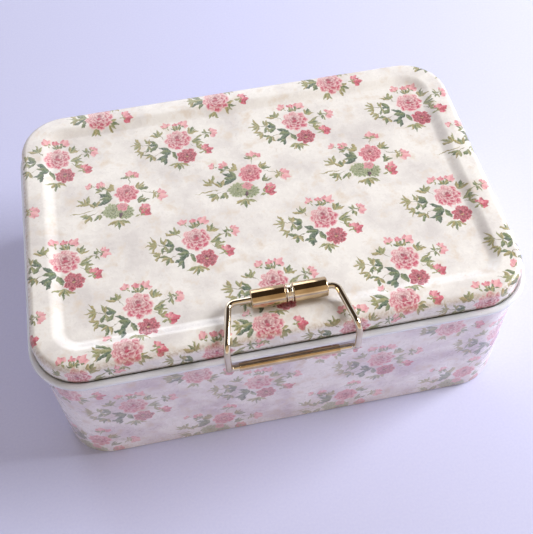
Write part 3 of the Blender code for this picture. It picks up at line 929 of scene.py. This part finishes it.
def make_wire_tree():
    names = [("Corners", "Object"), ("Wire radius", "Float"), ("Material", "Material")]
    tree = new_tree("bent_wire", names)
    given = add(tree, "NodeGroupInput").outputs
    line = add(tree, "GeometryNodeObjectInfo", inputs={"Object": given["Corners"]}).outputs["Geometry"]
    bend = add(tree, "GeometryNodeInputRadius").outputs[0]
    links = {"Curve": line, "Count": 10, "Radius": bend, "Limit Radius": True}
    bent = add(tree, "GeometryNodeFilletCurve", {"mode": "POLY"}, links).outputs[0]
    plain = add(tree, "GeometryNodeSetCurveRadius", inputs={"Curve": bent, "Radius": 1.0}).outputs[0]
    links = {"Radius": given["Wire radius"], "Resolution": 24}
    circle = add(tree, "GeometryNodeCurvePrimitiveCircle", inputs=links).outputs[0]
    links = {"Curve": plain, "Profile Curve": circle, "Fill Caps": True}
    swept = add(tree, "GeometryNodeCurveToMesh", inputs=links).outputs[0]
    return end_tree(tree, swept, given["Material"])


def make_bail():
    leg_y, arm_x, stub = PIVOT.y - 2.3 * MM, 20.7 * MM, 13 * MM
    right = [((stub, PIVOT.y, PIVOT.z), 0), ((LEG, PIVOT.y, PIVOT.z), 2.4)]
    right += [((LEG, leg_y, PIVOT.z + 4 * MM), 4)]
    right += [((LEG, leg_y, GRIP_LINE.z), 4), ((arm_x, GRIP_LINE.y, GRIP_LINE.z), 3)]
    left = [((-x, y, z), bend) for (x, y, z), bend in reversed(right)]
    corners = draw_line("corners", [p for p, _ in right + left], radii=[r * MM for _, r in right + left])
    values = {"Corners": corners, "Wire radius": WIRE, "Material": CLASP_GOLD}
    return tidy_mesh(run_tree("bail_wire", make_wire_tree(), values, remove=(corners,)))


bail = make_bail()
print("wire", [round(1e3 * size, 1) for size in bail.dimensions], "mm")


# %% Sleeve
def make_sleeve():
    """A strip rolled round the wire, with its seam facing down and a few crimps near its left end."""
    radius = 1.6 * MM
    start, end = -55, 291
    section = arc((0, 0), radius, start, end, 40) + arc((0, 0), BORE, end, start, 40)
    pressed = 0.968
    stops, sizes = [sleeve_low.x], [0.985]
    for crimp in (0.5, 2.4, 3.4, 4.2, 6.1):
        stops += [sleeve_low.x + (crimp + side) * MM for side in (-0.16, -0.08, 0.08, 0.16)]
        sizes += [1.0, pressed, pressed, 1.0]
    stops.append(sleeve_high.x)
    route = draw_line("route", [(x, PIVOT.y, PIVOT.z) for x in stops], radii=[*sizes, 1.0])
    return carry("clasp_sleeve", section, True, DARK_GOLD, path=route, caps=True)


def add_tabs(sleeve):
    """The two tabs go through the wall and are bent down inside it."""
    half_width, apart = 3.5 * MM, 12 * MM
    inner, back = SHEET + 0.3 * MM - HALF_WIDTH, sleeve_high.y
    top = PIVOT.z + 0.35 * MM
    through = ((-half_width, PIVOT.y + 1.47 * MM, top - 0.7 * MM), (half_width, back, top))
    bent_down = ((-half_width, inner, top - 4 * MM), (half_width, back, top - 0.01 * MM))
    for side in (-1, 1):
        for low, high in (through, bent_down):
            bm = bmesh.new()
            bmesh.ops.create_cube(bm, size=1)
            size = Vector(high) - Vector(low)
            bmesh.ops.scale(bm, vec=size, verts=bm.verts[:])
            middle = (Vector(low) + Vector(high)) / 2 + Vector((side * apart, 0, 0))
            bmesh.ops.translate(bm, vec=middle, verts=bm.verts[:])
            block = placed("block", bpy.data.meshes.new("block"))
            bm.to_mesh(block.data)
            bm.free()
            join = sleeve.modifiers.new("join", "BOOLEAN")
            join.operation = "UNION"
            join.object = block
            keep_result(sleeve)
            bpy.data.objects.remove(block, do_unlink=True)
    return tidy_mesh(sleeve)


sleeve = add_tabs(make_sleeve())

# %% [markdown]
# ## Turned pieces
#
# The grip, the hinge pins and the rivets are round, so each is a section carried round a small circle. The
# same sweep tree does it: only the path changes.


# %% Turning
def turn(name, section, place, axis, material, steps=48):
    """Spin (radius, height) points round an axis through place; axis is the way that height points."""
    guide = 1 * MM
    route = draw_line("route", [(*point, 0) for point in arc((0, 0), guide, 0, 360, steps)[:-1]], closed=True)
    shifted = [(radius - guide, height) for radius, height in section]
    obj = carry(name, shifted, True, material, path=route)
    turned = Vector((0, 0, 1)).rotation_difference(Vector(axis)).to_matrix().to_4x4()
    obj.data.transform(Matrix.Translation(place) @ turned)
    return tidy_mesh(obj)


# %% Grip
GRIP_RADIUS = (grip_high.z - grip_low.z) / 2
GRIP_HALF = (grip_high.x - grip_low.x) / 2
GRIP_PLACE = Vector((GRIP_MIDDLE, GRIP_LINE.y, GRIP_LINE.z))


def grip_core_section():
    """The tube on the wire, with a ring of two rounded beads at its middle and a small bright collar."""
    tube, bead = 2.2 * MM, 0.40 * MM
    ring, apart = 1.3 * MM, 0.88 * MM
    points = [(tube, GRIP_HALF), (tube, ring)]
    for middle in (apart, -apart):
        points += arc((GRIP_RADIUS - bead, middle), bead, 90, -90, 9)
    return points + [(tube, -ring), (tube, -GRIP_HALF), (BORE, -GRIP_HALF), (BORE, GRIP_HALF)]


def grip_sleeve_section():
    inner, start, bend = 2.3 * MM, 1.6 * MM, 0.7 * MM
    points = arc((GRIP_RADIUS - bend, GRIP_HALF - bend), bend, 90, 0, 8)
    points += arc((GRIP_RADIUS - 0.25 * MM, start + 0.25 * MM), 0.25 * MM, 0, -90, 4)
    return points + [(inner, start), (inner, GRIP_HALF)]


grip_middle = turn("grip_ring", grip_core_section(), GRIP_PLACE, (1, 0, 0), CLASP_GOLD)
grip_right = turn("grip_right", grip_sleeve_section(), GRIP_PLACE, (1, 0, 0), DARK_GOLD)
grip_left = turn("grip_left", grip_sleeve_section(), GRIP_PLACE, (-1, 0, 0), DARK_GOLD)

# %% [markdown]
# ## The hinges
#
# Two small hinges join the lid to the wall at the back. Their leaves are bent strips with notched ends, and
# the measured model already has that shape, so a copy of each is welded and its edges are softened. The
# rivets are all alike: one is turned, and Geometry Nodes sets a copy on each hole.


# %% Leaves
def soften(node):
    """A copy of a measured piece, welded, with softened edges."""
    obj = placed(node + "_soft", bpy.data.meshes.new(node + "_soft"))
    bm = bmesh.new()
    bm.from_mesh(frame["nodes"][node].data)
    bmesh.ops.remove_doubles(bm, verts=bm.verts[:], dist=WELD)
    bmesh.ops.dissolve_limit(bm, angle_limit=radians(1), verts=bm.verts[:], edges=bm.edges[:])
    bm.to_mesh(obj.data)
    bm.free()
    obj.data.materials.append(HINGE_NICKEL)
    bevel = obj.modifiers.new("soft edges", "BEVEL")
    bevel.width = 0.08 * MM
    bevel.segments = 2
    bevel.angle_limit = radians(40)
    keep_result(obj)
    obj.data.shade_smooth()
    obj.data.set_sharp_from_angle(angle=radians(50))
    return obj


LEAVES = [f"{side}_{part}_leaf" for side in ("left", "right") for part in ("base", "lid")]
leaves = {node: soften(node) for node in LEAVES}
print("leaves:", ", ".join(leaves))


# %% Rivets and pins, set on points
def make_copies_tree():
    names = [("Piece", "Object"), ("Places", "Object"), ("Material", "Material")]
    tree = new_tree("copies_on_points", names)
    given = add(tree, "NodeGroupInput").outputs
    piece = add(tree, "GeometryNodeObjectInfo", inputs={"Object": given["Piece"]}).outputs["Geometry"]
    spots = add(tree, "GeometryNodeObjectInfo", inputs={"Object": given["Places"]}).outputs["Geometry"]
    links = {"Points": spots, "Instance": piece}
    copies = add(tree, "GeometryNodeInstanceOnPoints", inputs=links).outputs[0]
    return end_tree(tree, copies, given["Material"])


COPIES = make_copies_tree()


def middle_of(node):
    low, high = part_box(node)
    return (low + high) / 2


def copies_at(name, piece, nodes):
    """One mesh of a small piece repeated at the middle of each of the named CAD nodes."""
    mesh = bpy.data.meshes.new("places")
    mesh.from_pydata([tuple(middle_of(node)) for node in nodes], [], [])
    places = placed("places", mesh)
    values = {"Piece": piece, "Places": places, "Material": HINGE_NICKEL}
    obj = run_tree(name, COPIES, values, remove=(places, piece))
    print(f"{name}: {len(nodes)} copies, {len(obj.data.polygons)} faces")
    return tidy_mesh(obj)


def rivet():
    """A domed head outside, a shank, and a flat head inside; its middle is at the origin."""
    low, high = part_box("left_base_rivet_a")
    radius, half = (high.x - low.x) / 2, (high.y - low.y) / 2
    dome, foot, shank = 0.7 * MM, 0.4 * MM, 0.8 * MM
    angles = [radians(75 - 15 * i) for i in range(6)]
    section = [(0, half)] + [(radius * cos(angle), half - dome + dome * sin(angle)) for angle in angles]
    section += [(shank, half - dome), (shank, -half + foot)]
    section += [(radius, -half + foot), (radius, -half), (0, -half)]
    return turn("rivet", section, (0, 0, 0), (0, 1, 0), HINGE_NICKEL, 24)


def pin():
    """A shank with a flat, slightly rounded head at each end."""
    low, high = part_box("left_hinge_pin")
    half, head, shank, edge = (high.x - low.x) / 2, (high.z - low.z) / 2, 0.8 * MM, 0.6 * MM
    upper = [(0, half), (head * 0.7, half), (head, half - 0.2 * MM)]
    upper += [(head, half - edge), (shank, half - edge)]
    section = upper + [(radius, -height) for radius, height in reversed(upper)]
    return turn("pin", section, (0, 0, 0), (1, 0, 0), HINGE_NICKEL, 24)


def named(part):
    return [f"{side}_{part}_rivet_{letter}" for side in ("left", "right") for letter in "ab"]


PINS = ["left_hinge_pin", "right_hinge_pin"]
base_rivets = copies_at("base_rivets", rivet(), named("base"))
lid_rivets = copies_at("lid_rivets", rivet(), named("lid"))
hinge_pins = copies_at("hinge_pins", pin(), PINS)

# %% [markdown]
# ## Joining the pieces to the moving model
#
# Each piece rides on the body that it belongs to, so it moves when a joint moves, and it stands for one or
# more of the measured nodes.

# %% Bodies, slots and nodes
PIECES = [
    (wall, "base", "printed_tin", ["base_wall"]),
    (collar, "base", "lacquered_tin", ["base_collar"]),
    (pan, "base", "lacquered_tin", ["base_bottom"]),
    (sleeve, "base", "clasp_metal", ["clasp_knuckle"]),
    (base_rivets, "base", "hinge_steel", named("base")),
    (hinge_pins, "base", "hinge_steel", PINS),
    (lid, "lid", "printed_tin", ["lid_shell"]),
    (lid_rivets, "lid", "hinge_steel", named("lid")),
    (bail, "clasp", "clasp_metal", ["clasp_bail"]),
    (grip_middle, "grip", "clasp_metal", ["grip_core"]),
    (grip_left, "grip", "clasp_metal", ["grip_sleeve_left"]),
    (grip_right, "grip", "clasp_metal", ["grip_sleeve_right"]),
]
PIECES += [(leaves[node], "lid" if "_lid_" in node else "base", "hinge_steel", [node]) for node in LEAVES]
for piece, body, slot, nodes in PIECES:
    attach(piece, body)
    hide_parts(*nodes)
print(len(PIECES), "pieces")

# %% [markdown]
# ## Floor and light
#
# A pale lavender cloth lies under the box. The main lamp stands to the right, so that the front is in light
# shade. A weak one behind opens the shadows, and a long warm strip in front gives the clasp a golden band.


# %% Floor
def make_floor():
    bm = bmesh.new()
    bmesh.ops.create_grid(bm, x_segments=1, y_segments=1, size=6)
    floor = placed("floor", bpy.data.meshes.new("floor"))
    bm.to_mesh(floor.data)
    bm.free()
    material, shader, place = new_finish("floor_cloth")
    weave = place.grain(900.0, 3.0)
    colour = weave.mix(tint(206, 211, 250), tint(218, 222, 255))
    connect(shader, Base_Color=colour, Roughness=weave.scaled(0.1, 0.75))
    floor.data.materials.append(material)


make_floor()


# %% Lamps
def lamp(name, place, size, power, colour, depth=None):
    """A soft lamp that faces the box: square, or a strip if it has a depth."""
    light = bpy.data.lights.new(name, "AREA")
    light.shape = "RECTANGLE"
    light.size, light.size_y = size, depth or size
    light.energy = power
    light.color = colour
    obj = placed(name, light)
    obj.location = place
    obj.rotation_euler = (-Vector(place)).to_track_quat("-Z", "Y").to_euler()


lamp("window", (0.92, 0.04, 0.60), 0.5, 14.0, (1.0, 0.985, 0.97))
lamp("far_wall", (-0.2, 1.3, 0.8), 0.9, 6, (0.97, 0.975, 1.0))
lamp("warm_strip", (0.0, -1.0, 0.85), 2.4, 6.0, (1.0, 0.78, 0.54), 1.4)


# %% Surroundings for the metal to mirror
def make_world():
    """Bright and cool at the horizon, brown and dim overhead and in front, so that metal shows dark bands."""
    world = bpy.data.worlds.new("studio")
    world.use_nodes = True
    sky = world.node_tree.nodes["Background"]
    place = Signal(world.node_tree.nodes.new("ShaderNodeTexCoord").outputs["Generated"])
    height = place.dot((0, -0.18, 1))
    colour = height.scaled(3.4, -0.9).mix(tint(240, 240, 252), tint(70, 58, 48))
    world.node_tree.links.new(colour.socket, sky.inputs["Color"])
    sky.inputs["Strength"].default_value = 1.05
    bpy.context.scene.world = world


make_world()
bpy.context.scene.view_settings.view_transform = "Standard"
